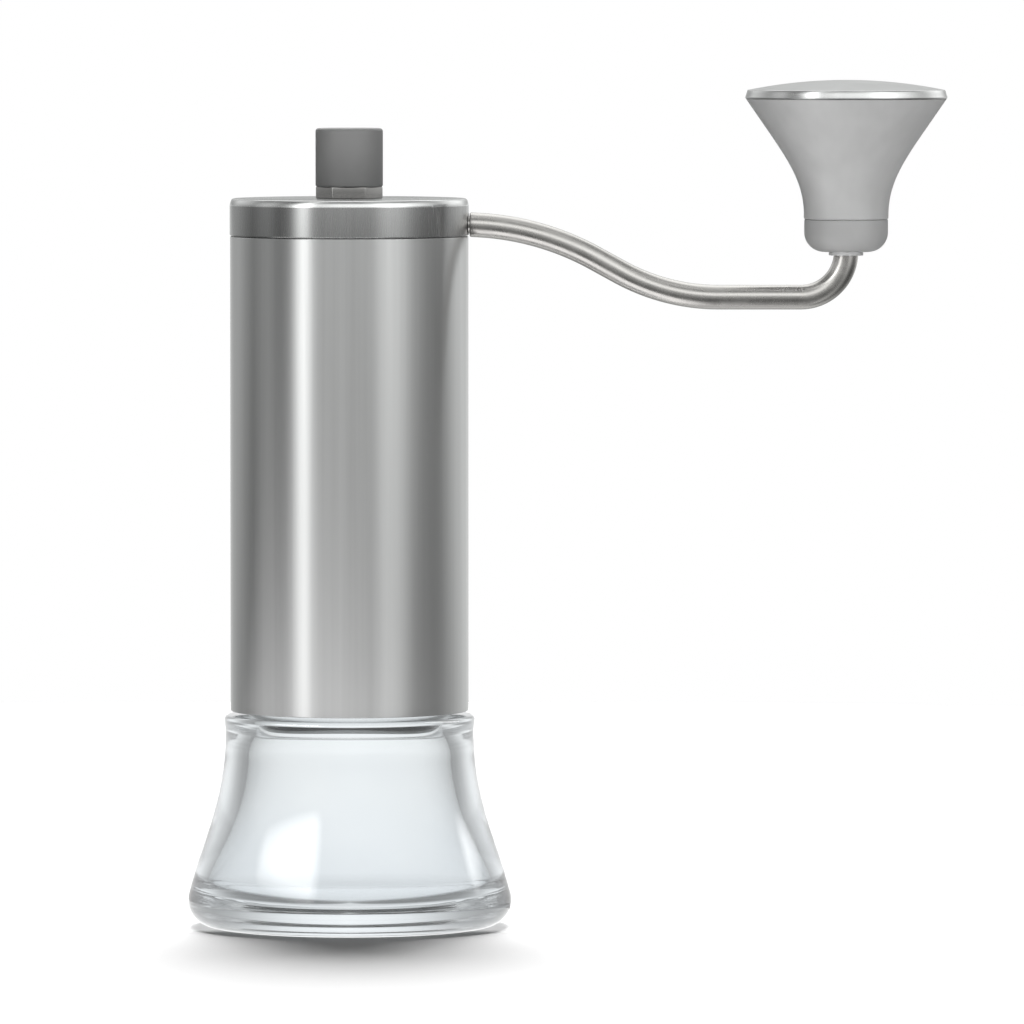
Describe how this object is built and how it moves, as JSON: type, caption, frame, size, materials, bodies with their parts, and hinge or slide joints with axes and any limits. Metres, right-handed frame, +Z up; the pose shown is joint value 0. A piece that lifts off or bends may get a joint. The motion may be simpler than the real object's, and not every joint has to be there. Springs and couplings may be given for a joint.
{
  "type": "hand crank coffee grinder",
  "caption": "Hand crank coffee mill: a steel tube with ceramic conical burrs inside, a lid turned by a bent arm with a flared spinning grip, screwed onto a flared glass jar.",
  "frame": {"origin": "centre of the jar's flat base, on the table, on the mill's axis", "axes": "+Z up the mill's axis, +X from the mill towards the crank's grip at rest, +Y away from the front view"},
  "size_m": [0.1849, 0.0788, 0.2062],
  "materials": {
    "clear_glass": "clear, slightly green-blue, polished",
    "brushed_tube": "fine vertical brush lines, satin",
    "brushed_lid": "turned and brushed, satin with a bright edge",
    "satin_knob": "dark satin",
    "polished_bar": "polished, warm grey",
    "satin_grip": "bead-blasted satin",
    "grip_cap_metal": "satin top with a polished rim",
    "plain_steel": "plain machined",
    "dark_plastic": "moulded, dark grey",
    "black_plastic": "moulded, black",
    "seal_rubber": "translucent silicone",
    "burr_ceramic": "fired, unglazed",
    "bush_bronze": "sintered bronze"
  },
  "bodies": {
    "jar": {"glass_jar": "clear_glass"},
    "seal": {"neck_seal": "seal_rubber"},
    "mill": {"body_tube": "brushed_tube", "neck_adapter": "black_plastic", "burr_housing": "black_plastic", "burr_ring": "burr_ceramic", "burr_lock_ring": "plain_steel", "upper_spider": "black_plastic", "lower_bush": "bush_bronze", "upper_bush": "bush_bronze"},
    "shaft": {"drive_shaft": "plain_steel", "shaft_washer": "plain_steel", "shaft_clip": "plain_steel", "spring_washer": "plain_steel", "burr_spring": "plain_steel"},
    "inner_burr": {"burr_cone": "burr_ceramic", "burr_carrier": "dark_plastic", "detent_plate": "plain_steel"},
    "adjuster": {"adjuster_nut": "dark_plastic"},
    "crank": {"lid_disc": "brushed_lid", "lid_liner": "dark_plastic", "liner_screw_1": "plain_steel", "liner_screw_2": "plain_steel", "liner_screw_3": "plain_steel", "arm_set_screw": "plain_steel", "hub_collar": "polished_bar", "hub_knob": "satin_knob", "crank_arm": "polished_bar", "grip_washer": "plain_steel", "grip_screw": "plain_steel"},
    "grip": {"grip_ferrule": "satin_grip", "grip_body": "satin_grip", "grip_cap": "grip_cap_metal", "grip_lower_bush": "satin_grip", "grip_upper_bush": "dark_plastic"}
  },
  "joints": [
    {"name": "thread_rise", "type": "slide", "parent": "jar", "child": "seal", "axis": [0, 0, 1], "range_m": [0, 0.01201]},
    {"name": "mill_unscrew", "type": "hinge", "parent": "seal", "child": "mill", "pos_m": [0, 0, 0.056], "axis": [0, 0, 1], "range_deg": [0, 1080]},
    {"name": "crank_turn", "type": "hinge", "parent": "mill", "child": "shaft", "pos_m": [0, 0, 0.152], "axis": [0, 0, 1], "continuous": true},
    {"name": "burr_travel", "type": "slide", "parent": "shaft", "child": "inner_burr", "axis": [0, 0, 1], "range_m": [-0.00121, 0.00061], "deforming": ["burr_spring"]},
    {"name": "adjuster_turn", "type": "hinge", "parent": "inner_burr", "child": "adjuster", "pos_m": [0, 0, 0.062], "axis": [0, 0, 1], "range_deg": [-540, 270]},
    {"name": "lid_lift", "type": "slide", "parent": "shaft", "child": "crank", "axis": [0, 0, 1], "range_m": [0, 0.04]},
    {"name": "grip_spin", "type": "hinge", "parent": "crank", "child": "grip", "pos_m": [0.1209, 0, 0.175], "axis": [0, 0, 1], "continuous": true}
  ],
  "couplings": [
    {"joint": "thread_rise", "follows": "mill_unscrew", "m_per_rad": 0.00063662},
    {"joint": "burr_travel", "follows": "adjuster_turn", "m_per_rad": 0.00012732}
  ]
}
